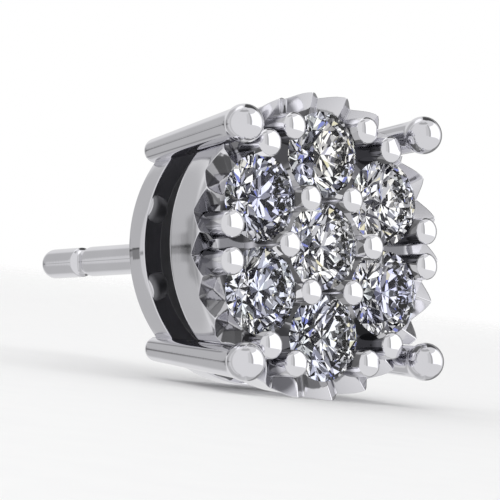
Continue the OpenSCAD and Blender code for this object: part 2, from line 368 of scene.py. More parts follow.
def brilliantForm():
    # 57 facets cut into a round girdle: where a half facet meets the cylinder r = R, the edge bows by
    # (cos(a - m) / cos(m) - 1) R slope, with a the angle into the facet and m a thirty-second of a turn
    steps, radius, half = stones["arcSteps"], stones["radius"], stones["girdleThick"] / 2
    sides = 16 * steps
    around = np.arange(sides) * turn / sides
    bow = (np.cos((around % (turn / 16)) - turn / 32) / np.cos(turn / 32) - 1) * radius
    lowerSlope = (-half - lowerZ) / (radius - lowerR)
    lift = {"top": half - bow * upperSlope, "low": -half + bow * lowerSlope}
    table = np.column_stack([ringOf(8, tableR), np.full(8, tableZ)])
    star = np.column_stack([ringOf(8, starR, turn / 16), np.full(8, starZ)])
    top = np.column_stack([ringOf(sides, radius), lift["top"]])
    low = np.column_stack([ringOf(sides, radius), lift["low"]])
    lower = np.column_stack([ringOf(8, lowerR, turn / 16), np.full(8, lowerZ)])
    points = np.concatenate([table, star, top, low, lower, [[0, 0, culetZ]]])
    starAt, topAt = 8, 16
    lowAt = topAt + sides
    lowerAt = lowAt + sides
    culetAt = lowerAt + 8
    around8 = np.arange(8)
    before, after = (around8 - 1) % 8, (around8 + 1) % 8
    arcs = (np.arange(16)[:, None] * steps + np.arange(steps + 1)) % sides
    halfOf = np.arange(16) // 2
    faces = [list(around8)]
    faces += np.column_stack([around8, starAt + around8, after]).tolist()
    faces += np.column_stack([around8, starAt + before, topAt + 2 * steps * around8,
                              starAt + around8]).tolist()
    faces += np.column_stack([starAt + halfOf, topAt + arcs]).tolist()
    faces += np.column_stack([lowerAt + halfOf, lowAt + arcs[:, ::-1]]).tolist()
    faces += np.column_stack([culetAt + 0 * around8, lowerAt + around8, lowAt + 2 * steps * around8,
                              lowerAt + before]).tolist()
    beside = (np.arange(sides) + 1) % sides
    belt = np.arange(sides)
    faces += np.column_stack([topAt + belt, lowAt + belt, lowAt + beside, topAt + beside]).tolist()
    return points, faces


def facetTints(count, seed):
    # painted fire: a faint colour for each facet, mostly clear, some blue-violet, a few straw and green
    rng = np.random.default_rng(seed)
    tints = np.array([[1, 1, 1], [0.97, 0.98, 1], [0.80, 0.84, 1], [0.70, 0.72, 1], [1, 0.97, 0.86],
                      [0.92, 1, 0.97]])
    pick = rng.choice(len(tints), size=count, p=[0.42, 0.24, 0.14, 0.06, 0.08, 0.06])
    return np.column_stack([tints[pick], np.ones(count)])


def facetGlimmers(count, seed):
    # a glowing grey for each facet, painted light seen only in the metal, g = from + span u^3 for u from 0 to
    # 1: mostly dark, now and then bright
    u = np.random.default_rng(seed).random(count)
    grey = stones["glimmerFrom"] + stones["glimmerSpan"] * u ** 3
    return np.column_stack([np.repeat(grey[:, None], 3, axis=1), np.ones(count)])


def makeStones():
    # p = turn about Z by the place (turn about Z by its own angle p + (ring radius, 0, girdle height))
    points, faces = brilliantForm()
    for index, (place, reach, own) in enumerate(stones["places"]):
        spun = points @ turnAbout("Z", own).T + [reach * stones["ringRadius"], 0, stones["girdleHeight"]]
        placed = layDown(spun @ turnAbout("Z", stones["firstAt"] + stones["apart"] * place).T)
        name = "brilliant_" + ("center" if index == 0 else str(index))
        mesh = bpy.data.meshes.new(name)
        mesh.from_pydata(placed.tolist(), [], faces)
        mesh.update()
        tints = facetTints(len(faces), stones["tintSeed"] + index)
        glimmers = facetGlimmers(len(faces), stones["glimmerSeed"] + index)
        for key, colours in [("fire", tints), ("glimmer", glimmers)]:
            layer = mesh.attributes.new(key, "FLOAT_COLOR", "FACE")
            layer.data.foreach_set("color", colours.astype(np.float32).ravel())
        finishPiece(addObject(name, mesh), [stones["nodes"][index]], [brilliantStone])


makeStones()

# Claws: a rod that leans out and the ball tip that laps over the rim
claws = {
    "endR": 3.47, "endZ": -3.74, "endThick": 0.62, "topR": 4.01, "topZ": 0.256, "topThick": 0.8,
    "ballR": 3.965, "ballRadius": 0.468, "count": 4, "firstAt": 45, "columns": 128, "blend": 0.02,
    # rings on the rod's rounded end and on the ball, by their angles from and to and their count, and between
    "endRings": (-86, -6, 12), "ballRings": (-58, 87, 44), "rodRings": 26, "margin": 0.03,
    # the path of the rings bends to the ball's centre from this far below it, over this length
    "bendFrom": 0.7, "bendLength": 0.6,
    # the painted dark line, a painted reflection, on either side of the rod: degrees from its outer side,
    # width, and its end below the ball
    "paintedLineAt": 78, "paintedLineWide": 2.6, "paintedLineEnd": 0.45, "paintedLineFade": 0.1}


def rodAt(s):
    # radius of the rod at a distance s along it
    length = np.hypot(claws["topR"] - claws["endR"], claws["topZ"] - claws["endZ"])
    return (claws["endThick"] + (claws["topThick"] - claws["endThick"]) * s / length) / 2


def makeClaws():
    # at s along the rod, reach(psi) = the greater of o cos(psi) + sqrt(q^2 - o^2 sin^2(psi)) for rod and
    # ball, with q that form's radius in the plane and o how far its centre lies from the path
    lean = np.arctan2(claws["topR"] - claws["endR"], claws["topZ"] - claws["endZ"])
    along = np.array([np.sin(lean), 0, np.cos(lean)])
    outward = np.array([np.cos(lean), 0, -np.sin(lean)])
    sideways = np.array([0, 1, 0])
    toBall = np.array([claws["ballR"] - claws["endR"], 0, claws["topZ"] - claws["endZ"]])
    ballS, ballOff = toBall @ along, toBall @ outward
    ball, end = claws["ballRadius"], claws["endThick"] / 2
    below = np.radians(np.linspace(*claws["endRings"]))
    above = np.radians(np.linspace(*claws["ballRings"]))
    ballFrom = ballS + ball * np.sin(above[0])
    s = np.concatenate([end * np.sin(below),
                        np.linspace(claws["margin"], ballFrom - claws["margin"], claws["rodRings"]),
                        ballS + ball * np.sin(above)])
    bend = np.clip((s - ballS + claws["bendFrom"]) / claws["bendLength"], 0, 1)
    path = ballOff * bend ** 2 * (3 - 2 * bend)
    psi = np.arange(claws["columns"]) * turn / claws["columns"]

    def reach(offset, radius):
        o, q = offset[:, None], radius[:, None]
        inside = q ** 2 - (o * np.sin(psi)) ** 2
        return np.where(inside > 0, o * np.cos(psi) + np.sqrt(np.maximum(inside, 0)), 0)

    rodRadius = np.where(s < 0, np.sqrt(np.maximum(end ** 2 - s ** 2, 0)), rodAt(np.maximum(s, 0)))
    rodRadius = np.where(s > ballS, 0, rodRadius)
    ballRadius = np.sqrt(np.maximum(ball ** 2 - (s - ballS) ** 2, 0))
    rod, tip = reach(-path, rodRadius), reach(ballOff - path, ballRadius)
    near = (np.abs(s - ballS) < ball)[:, None] & (rodRadius > 0)[:, None]
    r = np.where(near, softMax(rod, tip, claws["blend"]), np.maximum(rod, tip))
    rods = (s[:, None, None] * along + path[:, None, None] * outward
            + r[..., None] * (np.cos(psi)[None, :, None] * outward + np.sin(psi)[None, :, None] * sideways))
    rods = rods + np.array([claws["endR"], 0, claws["endZ"]])
    spins = [turnAbout("Z", claws["firstAt"] + 360 / claws["count"] * i) for i in range(claws["count"])]
    shells = np.stack([rods @ spin.T for spin in spins])
    # painted reflection: a dark line where the rod's inner side begins, exp(-(degrees from it / width)^2),
    # ends below the ball
    beside = np.degrees(np.abs((psi + np.pi) % turn - np.pi))
    line = np.exp(-((beside - claws["paintedLineAt"]) / claws["paintedLineWide"]) ** 2)
    fade = np.clip((ballS - claws["paintedLineEnd"] - s) / claws["paintedLineFade"], 0, 1)[:, None]
    paintedLine = np.repeat((line * fade)[None], claws["count"], axis=0)
    piece = shellMesh("claw_prongs", shells, attributes={"paintedShading": paintedLine})
    finishPiece(piece, ["basket"], [basketPolish])


makeClaws()

# Cup: fluted rim, wall and seat plate, one closed skin
cup = {
    "rimR": 3.75, "rimZ": -0.28, "waistZ": -0.72, "backR": 3.54, "backZ": -1.75, "wall": 0.45,
    # height, radius and slope of the wall at each knot
    "wallKnots": [(-1.75, 3.54, 0.1068), (-1.35, 3.583, 0.11), (-0.72, 3.674, 0.20), (-0.42, 3.745, 0.14),
                  (-0.28, 3.744, -0.14)],
    "plateFront": -0.62, "plateBack": -1.45, "flutes": 22, "firstCrest": 77.8, "side": 39.5, "fall": 14,
    "round": 0.05, "crestRound": 0.008, "inR": 3.06, "columnsPerFlute": 40, "edge": 0.012,
    # the slope and rounding of the flutes' inner ends, and the plate's outer slope and least depth
    "endRise": 76, "endBlend": 0.04, "chamfer": 0.05, "outerSlope": 0.609, "leastPlate": 0.12,
    # rings on the top, from and to these shares of its radius, on the lip, and on the wall below the waist
    "topShares": (0.01, 0.77, 1), "topRings": (26, 36), "lipRings": 17, "lipBelow": 0.04,
    "wallRings": 14, "wallBelow": 0.1, "settleSteps": 16, "leastRise": 0.2,
    # the back's edge with its three roundings, how many of its bands are polished, and the hole in the plate
    "backEdge": 0.03, "backRounds": (0.025, 0.03, 0.05), "polishedBands": 5, "holeR": 0.02,
    # painted shade: the plate's share starts inside its edge, the depth's is less in the flutes, and the
    # outer beads' starts at a radius
    "shade": {"plateEdge": 0.02, "plateFade": 0.2, "depth": 0.45, "fluteDeep": 0.25, "plateDeep": 0.55,
              "plain": 0.05, "outerFrom": 1.95, "outerFade": 0.25, "outer": 0.85}}


def fluteHeights(r, theta):
    # in each flute's own V: across w, along a; z = floor(a) + h / cos(fall), with
    # h = R - sqrt(R^2 - w^2) in the rounded floor and a straight side beyond it, less
    # tan(side) (sqrt(d^2 + e^2) - d) at a distance d from the crest
    step = turn / cup["flutes"]
    valley = np.radians(cup["firstCrest"]) + step / 2
    local = (theta - valley + step / 2) % step - step / 2
    a, w = r * np.cos(local), np.abs(r * np.sin(local))
    side, fall = np.radians(cup["side"]), np.radians(cup["fall"])
    floorSide = cup["round"] * np.sin(side)
    floorTop = cup["round"] * (1 - np.cos(side))
    toCrest = np.abs(r) * np.sin(step / 2) - w
    h = np.where(w < floorSide, cup["round"] - np.sqrt(np.maximum(cup["round"] ** 2 - w ** 2, 1e-9)),
                 floorTop + (w - floorSide) * np.tan(side))
    h = h - np.tan(side) * (np.sqrt(toCrest ** 2 + cup["crestRound"] ** 2) - np.abs(toCrest))
    crestH = cup["rimR"] * np.sin(step / 2) * np.tan(side) - cup["round"] * (1 / np.cos(side) - 1)
    floorZ = cup["rimZ"] - crestH / np.cos(fall)
    inZ = floorZ - (cup["rimR"] * np.cos(step / 2) - cup["inR"]) * np.tan(fall)
    bed = inZ + (a - cup["inR"]) * np.tan(fall) + h / np.cos(fall)
    endWall = inZ + (cup["inR"] - a) * np.tan(np.radians(cup["endRise"]))
    return softMax(bed, endWall, cup["endBlend"])


def seatOutline(z):
    # the stone's outline a gap larger, as a radius at each height above the face's zero
    g, half, gap = stones["girdleHeight"], stones["girdleThick"] / 2, stones["gap"]
    heights = [seatZ, g - half - gap, g + half + gap, g + tableZ + gap, g + tableZ + gap + 1]
    return np.interp(z, heights, [0, seatR, seatR, mouthR, mouthR])


def stoneCentres():
    rows = np.array(stones["places"], float)
    angle = np.radians(stones["firstAt"] + stones["apart"] * rows[:, 0])
    return np.column_stack([np.cos(angle), np.sin(angle)]) * (rows[:, 1] * stones["ringRadius"])[:, None]


def cupTop(r, theta):
    # lowest of the plate with its rising rim, the flutes and the seven cone seats
    r, theta = np.broadcast_arrays(r, theta)
    edgeR, edgeZ = cup["rimR"] - cup["chamfer"], cup["rimZ"] + cup["chamfer"]
    body = np.interp(r, [0, cup["inR"], edgeR, cup["rimR"] + 1],
                     [cup["plateFront"], cup["plateFront"], edgeZ,
                      edgeZ + (1 + cup["chamfer"]) * cup["outerSlope"]])
    top = softMin(body, fluteHeights(r, theta), cup["edge"])
    x, y = r * np.cos(theta), r * np.sin(theta)
    for centre in stoneCentres():
        away = np.hypot(x - centre[0], y - centre[1])
        top = softMin(top, seatZ + away * np.tan(seatAngle), cup["edge"])
    return np.maximum(top, cup["plateBack"] + cup["leastPlate"])


def clawEntry(theta, z):
    # how far out the cup may reach before it meets a claw's rod, a gap away
    slope = (claws["topR"] - claws["endR"]) / (claws["topZ"] - claws["endZ"])
    rodR = claws["endR"] + (z - claws["endZ"]) * slope
    upright = np.cos(np.arctan(slope))
    thick = rodAt((z - claws["endZ"]) / upright) / upright + stones["gap"]
    off = theta % (turn / 4) - turn / 8
    across = rodR * np.sin(off)
    return np.where(np.abs(across) < thick,
                    rodR * np.cos(off) - np.sqrt(np.maximum(thick ** 2 - across ** 2, 0)), far)


def wallAt(z):
    # the wall's radius at a height: a cone that swells into a lip and rounds over at the crests, by the cubic
    # (2 t^3 - 3 t^2 + 1) a + (t^3 - 2 t^2 + t) s + (3 t^2 - 2 t^3) b + (t^3 - t^2) e between the knots
    knots = cup["wallKnots"]
    r = np.full(np.shape(z), knots[0][1], float)
    for (z0, r0, s0), (z1, r1, s1) in zip(knots[:-1], knots[1:]):
        t = np.clip((z - z0) / (z1 - z0), 0, 1)
        span = z1 - z0
        piece = ((2 * t ** 3 - 3 * t ** 2 + 1) * r0 + (t ** 3 - 2 * t ** 2 + t) * s0 * span
                 + (3 * t ** 2 - 2 * t ** 3) * r1 + (t ** 3 - t ** 2) * s1 * span)
        r = np.where(z >= z0, piece, r)
    return r


def roomAt(theta, z):
    # how far out a point may lie along theta between the table and the cup's top: with the lying height
    # a r + b = limit, r = (limit - b) / a, and no limit where a is small
    rise = layTurn[2, 0] * np.cos(theta) + layTurn[2, 1] * np.sin(theta)
    base = layTurn[2, 2] * z + layShift[2]
    low, high = cadBox[0][2] * 1000, cadBox[1][2] * 1000
    limit = np.where(rise < 0, low - base, high - base)
    rises = np.abs(rise) > cup["leastRise"]
    return np.where(rises, limit / np.where(rises, rise, 1), far)


def makeCup():
    # the top out to the edge where r = wallAt(cupTop(r)), found by halving steps, then the wall down to the
    # back and the underside in to the hole
    columns = cup["flutes"] * cup["columnsPerFlute"]
    theta = (np.radians(cup["firstCrest"]) + np.arange(columns) * turn / columns)[None, :]
    edge = np.full((1, columns), cup["rimR"])
    for _ in range(cup["settleSteps"]):
        height = cupTop(edge, theta)
        room = np.minimum(clawEntry(theta, height), roomAt(theta, height))
        edge = (edge + np.minimum(wallAt(height), room)) / 2
    near, middle, whole = cup["topShares"]
    share = np.concatenate([np.linspace(near, middle, cup["topRings"][0])[:-1],
                            np.linspace(middle, whole, cup["topRings"][1])])[:, None]
    r = share * edge
    z = cupTop(r, theta)
    edgeZ = z[-1:]
    down = np.linspace(0, 1, cup["lipRings"])[1:, None]
    lipZ = edgeZ + (cup["waistZ"] - cup["lipBelow"] - edgeZ) * down
    lowZ = np.linspace(cup["waistZ"] - cup["wallBelow"], cup["backZ"] + cup["backEdge"], cup["wallRings"])
    wallZ = np.concatenate([lipZ, np.repeat(lowZ[:, None], columns, axis=1)])
    wallR = np.minimum(wallAt(wallZ), np.minimum(clawEntry(theta, wallZ), roomAt(theta, wallZ)))
    insideR = cup["backR"] - cup["wall"]
    under = roundedProfile([[cup["backR"], cup["backZ"] + cup["backEdge"]], [cup["backR"], cup["backZ"]],
                            [insideR, cup["backZ"]], [insideR, cup["plateBack"]],
                            [cup["holeR"], cup["plateBack"]]], cup["backRounds"], steps=4)[1:]
    underR, underZ = (np.repeat(under[:, i:i + 1], columns, axis=1) for i in range(2))
    underR = np.minimum(underR, clawEntry(theta, underZ))
    r = np.concatenate([r, wallR, underR])
    z = np.concatenate([z, wallZ, underZ])
    theta = np.repeat(theta, len(r), axis=0)
    shell = np.stack([r * np.cos(theta), r * np.sin(theta), z], axis=-1)[None]
    topRows = len(share)
    # past the polished bands the back is the shaded cast skin, painted dark as shade
    inner = topRows + len(wallZ) + cup["polishedBands"]
    rowFinish = np.where(np.arange(len(r) - 1) < inner, 0, 1)
    # painted shade: deep places are darker, and so is the plate by the outer beads
    shade = cup["shade"]
    body = np.interp(r, [0, cup["inR"], cup["rimR"]], [cup["plateFront"], cup["plateFront"], cup["rimZ"]])
    plate = np.clip((cup["inR"] + shade["plateEdge"] - r) / shade["plateFade"], 0, 1)
    deep = np.clip((body - z) / shade["depth"], 0, 1) * (shade["fluteDeep"] + shade["plateDeep"] * plate)
    outer = np.clip((r - shade["outerFrom"]) / shade["outerFade"], 0, 1)
    paintedShading = np.clip(deep + plate * (shade["plain"] + shade["outer"] * outer), 0, 1)
    paintedShading[topRows:] = 0
    piece = shellMesh("fluted_cup", shell, rowFinish, attributes={"paintedShading": paintedShading[None]})
    finishPiece(piece, ["cluster_cup"], [cupPolish, shadedCastSkin])


makeCup()

# Beads: domed prongs raised from the plate, notched where they lap over the stones
beads = {"innerR": 0.32, "innerRing": 1.306, "outerR": 0.335, "outerRing": 3.066, "spread": 8.17,
         "foot": -0.8, "columns": 64, "shoulder": 0.17, "crown": 0.55, "least": 0.02,
         # rings on the dome by their angles from and to and their count, and on the stem
         "domeRings": (0, 87, 22), "stemRings": 24,
         # painted shade: how far below the face's zero the darkening starts, and over what length
         "innerShade": 0.25, "outerShade": 0.1, "fade": 0.22}


def makeBeads():
    # a stem of radius a up to a shoulder, then the dome r = a cos(t), z = shoulder + crown a sin(t);
    # reach(psi, z) = min(that radius, distance along psi to the seat circle of each stone near it)
    steps = stones["apart"] * np.arange(6)
    inner = np.radians(steps)
    outer = np.radians((steps[:, None] + np.array([-1, 1]) * beads["spread"]).ravel())
    angle = np.concatenate([inner, outer])
    ring = np.concatenate([np.full(6, beads["innerRing"]), np.full(12, beads["outerRing"])])
    radius = np.concatenate([np.full(6, beads["innerR"]), np.full(12, beads["outerR"])])
    centre = np.column_stack([ring * np.cos(angle), ring * np.sin(angle)])
    dome = np.radians(np.linspace(*beads["domeRings"]))
    shoulder = (radius * beads["shoulder"])[:, None]
    stem = beads["foot"] + (shoulder - beads["foot"]) * np.linspace(0, 1, beads["stemRings"])[:-1]
    z = np.concatenate([stem, shoulder + radius[:, None] * beads["crown"] * np.sin(dome)], axis=1)
    r = np.concatenate([np.repeat(radius[:, None], stem.shape[1], axis=1),
                        radius[:, None] * np.cos(dome)], axis=1)
    psi = np.arange(beads["columns"]) * turn / beads["columns"]
    u = np.stack([np.cos(psi), np.sin(psi)])
    reach = np.repeat(r[:, :, None], beads["columns"], axis=2)
    seat = seatOutline(z)[:, :, None]
    for middle in stoneCentres():
        to = middle - centre
        ahead = (to @ u)[:, None, :]
        inside = ahead ** 2 - ((to ** 2).sum(axis=1)[:, None, None] - seat ** 2)
        hit = np.where((inside > 0) & (ahead > 0), ahead - np.sqrt(np.maximum(inside, 0)), far)
        reach = np.minimum(reach, np.maximum(hit, beads["least"]))
    x = centre[:, 0, None, None] + reach * np.cos(psi)
    y = centre[:, 1, None, None] + reach * np.sin(psi)
    shells = np.stack([x, y, np.repeat(z[:, :, None], beads["columns"], axis=2)], axis=-1)
    # painted shade: the stems darken downwards toward the plate
    shadeFrom = np.concatenate([np.full(6, beads["innerShade"]), np.full(12, beads["outerShade"])])
    low = np.clip((-shadeFrom[:, None, None] - shells[..., 2]) / beads["fade"], 0, 1)
    piece = shellMesh("bead_prongs", shells, attributes={"paintedShading": low})
    finishPiece(piece, ["cluster_cup"], [beadPolish])


makeBeads()

# Back ring with its closed back, and the lugs on its front edge
backRing = {"frontR": 3.37, "frontZ": -3.02, "backR": 3.34, "backZ": -3.7, "innerR": 2.85, "plate": 0.3,
            "edge": 0.035, "columns": 288, "core": 0.02, "longest": 0.3,
            # the shaded cast skin, rough metal painted dark as shade, inside the ring begins this far beyond
            # its inner wall and behind its plate
            "shadedCastBeyond": 0.1, "shadedCastBehind": 0.02,
            "lugR": 0.4, "lugRise": 0.23, "lugSpread": 17.5, "lugDepth": 0.5, "lugCorner": 0.55,
            # rings of a lug by their angles from and to and their count, the sine beyond which it is polished
            # (the rest is shaded cast skin), and where its painted shade starts and over what span
            "lugRings": (-88, 88, 40), "lugColumns": 64, "lugPolished": 0.8, "shadeFrom": 0.9,
            "shadeSpan": 0.5}


def makeRing():
    # radius and height of the section: back plate, outer wall, front edge, inner wall and the plate's front
    plateZ, core = backRing["backZ"] + backRing["plate"], backRing["core"]
    corners = [[core, backRing["backZ"]], [backRing["backR"], backRing["backZ"]],
               [backRing["frontR"], backRing["frontZ"]], [backRing["innerR"], backRing["frontZ"]],
               [backRing["innerR"], plateZ], [core, plateZ]]
    profile = refined(roundedProfile(corners, [backRing["edge"]] * 4, steps=5), backRing["longest"])
    middle = (profile[:-1] + profile[1:]) / 2
    shadedInside = ((middle[:, 0] < backRing["innerR"] + backRing["shadedCastBeyond"])
              & (middle[:, 1] > plateZ - backRing["shadedCastBehind"]))
    piece = shellMesh("back_ring", lathe(profile, backRing["columns"]), shadedInside.astype(int))
    finishPiece(piece, ["basket"], [basketPolish, shadedCastSkin])


def makeLugs():
    # eight rounded tabs, each |x / a|^n + (sqrt(y^2 + z^2) / b)^n = 1 with x its depth, y its width and z its
    # height (a: half its depth, b: its radius, n = 2 / corner), bent round the ring
    lat = np.radians(np.linspace(*backRing["lugRings"]))[:, None]
    lon = (np.arange(backRing["lugColumns"]) * turn / backRing["lugColumns"])[None, :]

    def power(value, n):
        return np.sign(value) * np.abs(value) ** n

    depth, radius, corner = backRing["lugDepth"], backRing["lugR"], backRing["lugCorner"]
    x = depth / 2 * power(np.sin(lat), corner) + 0 * lon
    y = radius * power(np.cos(lat), corner) * np.cos(lon)
    z = radius * power(np.cos(lat), corner) * np.sin(lon)
    outer = backRing["frontR"] - stones["gap"] / 2
    angle = np.radians((90 * np.arange(4)[:, None] + np.array([-1, 1]) * backRing["lugSpread"]).ravel())
    spun = angle[:, None, None] + (y / outer)[None]
    r = np.repeat((outer - depth / 2 + x)[None], 8, axis=0)
    height = np.repeat((z + backRing["frontZ"] + backRing["lugRise"] - radius)[None], 8, axis=0)
    rowFinish = (np.sin(lat[:-1, 0]) < backRing["lugPolished"]).astype(int)
    # painted shade: the lug darkens away from its outer face
    shade = np.clip((backRing["shadeFrom"] - np.sin(lat)) / backRing["shadeSpan"], 0, 1) + 0 * lon
    shells = np.stack([r * np.cos(spun), r * np.sin(spun), height], axis=-1)
    shades = np.repeat(shade[None], 8, axis=0)
    piece = shellMesh("ring_lugs", shells, rowFinish, attributes={"paintedShading": shades})
    finishPiece(piece, ["basket"], [basketPolish, shadedCastSkin])


makeRing()
makeLugs()

# Ear post with its friction notch, rounded tip and a small fillet of solder at the ring
post = {"radius": 0.4, "tipZ": -12.198, "notchZ": -10.3, "notchDepth": 0.1, "notchR": 0.35,
        "notchHalf": 0.3, "notchEdge": 0.01, "fillet": 0.12, "filletShare": 0.6, "inRing": 0.1, "columns": 96,
        # rings on the tip by their angles from and to and their count, then up to the notch, in it, up to the
        # fillet and in the fillet
        "tipRings": (3, 90, 22), "rings": (18, 34, 60, 12)}


def makePost():
    # r(z) = the lower of R and the notch's circle R - depth + q - sqrt(q^2 - (z - notch)^2), plus the fillet
    # f (1 - sqrt(1 - u^2)) share, u from 0 to 1 along it
    radius, q, depth, f = post["radius"], post["notchR"], post["notchDepth"], post["fillet"]
    tip = post["tipZ"] + radius
    stops = [tip, post["notchZ"] - post["notchHalf"], post["notchZ"] + post["notchHalf"],
             backRing["backZ"] - f, backRing["backZ"]]
    parts = [np.linspace(low, high, count) for low, high, count in zip(stops[:-1], stops[1:], post["rings"])]
    z = np.concatenate([parts[0], *[part[1:] for part in parts[1:]], [backRing["backZ"] + post["inRing"]]])
    dip = np.abs(z - post["notchZ"])
    notch = np.where(dip < q, radius - depth + q - np.sqrt(np.maximum(q ** 2 - dip ** 2, 0)), far)
    r = softMin(np.full(len(z), radius), notch, post["notchEdge"])
    along = np.clip((z - backRing["backZ"] + f) / f, 0, 1)
    r = r + f * (1 - np.sqrt(1 - along ** 2)) * post["filletShare"]
    bend = np.radians(np.linspace(*post["tipRings"]))
    dome = np.column_stack([radius * np.sin(bend), tip - radius * np.cos(bend)])
    profile = np.concatenate([dome[:-1], np.column_stack([r, z])])
    piece = shellMesh("ear_post", lathe(profile, post["columns"]))
    finishPiece(piece, ["basket"], [basketPolish])


makePost()
print("pieces ready")

# Camera: the photo's place beside the head, aimed at the head and with a longer lens
photo = {
    # angles in degrees, the sensor in millimetres and all else in pixels of the photo
    "pitch": -2.481, "yaw": 34.9996, "spin": -1.542, "away": 1837.07, "perMillimetre": 28.35,
    "shift": (154.860, -2.328, -72.760), "aim": (346, 255), "middle": 250, "zoom": 1.52, "sensor": 36.0,
    "frame": 500}
headTurn = turnAbout("Y", photo["yaw"]) @ turnAbout("X", photo["pitch"]) @ turnAbout("Z", photo["spin"])
eye = headTurn.T @ (np.array([0, 0, photo["away"]]) - photo["shift"]) / photo["perMillimetre"]
aim = np.array([photo["aim"][0] - photo["middle"], photo["middle"] - photo["aim"][1], -photo["away"]])
ahead = headTurn.T @ (aim / np.linalg.norm(aim))
up = headTurn.T @ np.array([0, 1, 0])
back = layTurn @ -ahead
up = layTurn @ up
right = np.cross(up, back)
right = right / np.linalg.norm(right)
up = np.cross(back, right)
lens = bpy.data.cameras.new("photoCamera")
lens.sensor_width = photo["sensor"]
lens.lens = photo["sensor"] * photo["away"] / photo["frame"] * photo["zoom"]
lens.clip_start, lens.clip_end = 0.001, 10
camera = addObject("photoCamera", lens)
stand = np.eye(4)
stand[:3, :3] = np.column_stack([right, up, back])
stand[:3, 3] = layDown(eye)
camera.matrix_world = Matrix(stand.tolist())
bpy.context.scene.camera = camera
print("camera at", np.round(layDown(eye) * 1000, 2), "mm")

# Floor: a wide pale disc whose rim fades into the white round it
floor = {"radius": 0.6, "fadeFrom": 0.03, "fadeTo": 0.25, "columns": 96, "rows": 40, "firstRing": 0.02,
         "rough": 0.7, "grainScale": 900.0, "dark": (0.86, 0.86, 0.865), "light": (0.89, 0.89, 0.89)}


def makeFloor():
    # p = R t^2 (cos(a), sin(a), 0): rings that widen outwards, in metres
    t = np.linspace(floor["firstRing"], 1, floor["rows"])[:, None] ** 2
    a = np.arange(floor["columns"]) * turn / floor["columns"]
    x, y = floor["radius"] * t * np.cos(a), floor["radius"] * t * np.sin(a)
    points = np.stack([x, y, 0 * x], axis=-1).reshape(-1, 3)
    points = np.concatenate([points, [[0, 0, 0]]])
    at = np.arange(floor["rows"] * floor["columns"]).reshape(floor["rows"], floor["columns"])
    beside = np.roll(at, -1, axis=1)
    quads = np.stack([at[:-1], at[1:], beside[1:], beside[:-1]], axis=-1).reshape(-1, 4).tolist()
    fans = np.stack([np.full(floor["columns"], len(points) - 1), at[0], beside[0]], axis=-1).tolist()
    mesh = bpy.data.meshes.new("tableTop")
    mesh.from_pydata(points.tolist(), [], quads + fans)
    mesh.update()
    table = addObject("tableTop", mesh)
    finish = bpy.data.materials.new("paleTable")
    finish.use_nodes = True
    tree = finish.node_tree
    shader = tree.nodes["Principled BSDF"]
    shader.inputs["Roughness"].default_value = floor["rough"]
    place = addNode(tree, "ShaderNodeTexCoord")
    length = addNode(tree, "ShaderNodeVectorMath", operation="LENGTH")
    tree.links.new(place.outputs["Object"], length.inputs[0])
    fade = addNode(tree, "ShaderNodeMapRange", interpolation_type="SMOOTHSTEP",
                   inputs={"From Min": floor["fadeFrom"], "From Max": floor["fadeTo"],
                           "To Min": 1.0, "To Max": 0.0})
    tree.links.new(length.outputs["Value"], fade.inputs["Value"])
    tree.links.new(fade.outputs[0], shader.inputs["Alpha"])
    grain = addNode(tree, "ShaderNodeTexNoise", inputs={"Scale": floor["grainScale"], "Detail": 2.0})
    tree.links.new(place.outputs["Object"], grain.inputs["Vector"])
    colour = addNode(tree, "ShaderNodeMix", data_type="RGBA",
                     inputs={"A": (*floor["dark"], 1), "B": (*floor["light"], 1)})
    tree.links.new(grain.outputs["Fac"], colour.inputs["Factor"])
    tree.links.new(colour.outputs["Result"], shader.inputs["Base Color"])
    table.data.materials.append(finish)
    table.visible_glossy = False
    table.visible_transmission = False


makeFloor()

# Studio: white round the object, panels for the metal to mirror, and a sharper pattern for the stones
studio = {
    "white": 1.0, "fill": 0.78, "soft": 0.95, "least": 0.02, "pattern": 12.0,
    # the stones' surroundings: the share of the pattern's cells from which each colour holds
    "stops": [(0.0, (0.005, 0.005, 0.01)), (0.24, (0.13, 0.13, 0.15)), (0.37, (0.56, 0.56, 0.59)),
              (0.535, (0.25, 0.28, 0.66)), (0.585, (0.32, 0.32, 0.34)), (0.68, (1.2, 1.2, 1.2)),
              (0.96, (0.85, 0.80, 0.58)), (0.975, (0.02, 0.02, 0.03))],
    # each panel: azimuth to the right of the camera and elevation above the photo's middle line, from and to,
    # softness in degrees, and how much light it adds or takes
    "panels": [(46, 121, -12, 46, 2, 0.52), (34, 44, -12, 58, 2, -0.30), (15, 34, -8, 50, 4, -0.12),
               (-142, -88, -70, 50, 8, -0.26), (128, 178, 36, 76, 3, -0.70), (-170, -105, 56, 78, 3, 0.45),
               (-60, 60, 64, 80, 3, -0.32), (-109, -100, -0.9, 0.9, 0.8, -0.34),
               (-109, -95, -60, 70, 1.0, 0.16), (-114.5, -109.8, -2.6, 2.9, 0.4, -0.28),
               (-114.5, -109.8, 2.1, 3.0, 0.3, -0.15), (-130, -114.5, -1.0, 2.5, 0.4, -0.18),
               (-138, -124, -9, 12, 2, -0.17), (-125, -119, -4, 7, 1, -0.17), (137, 177, -40, 34, 3, -0.5),
               (-130, -114.5, 1.5, 2.5, 0.3, -0.18), (140, 180, -90, -38, 10, -0.25),
               (-180, -140, -90, -38, 10, -0.2)]}


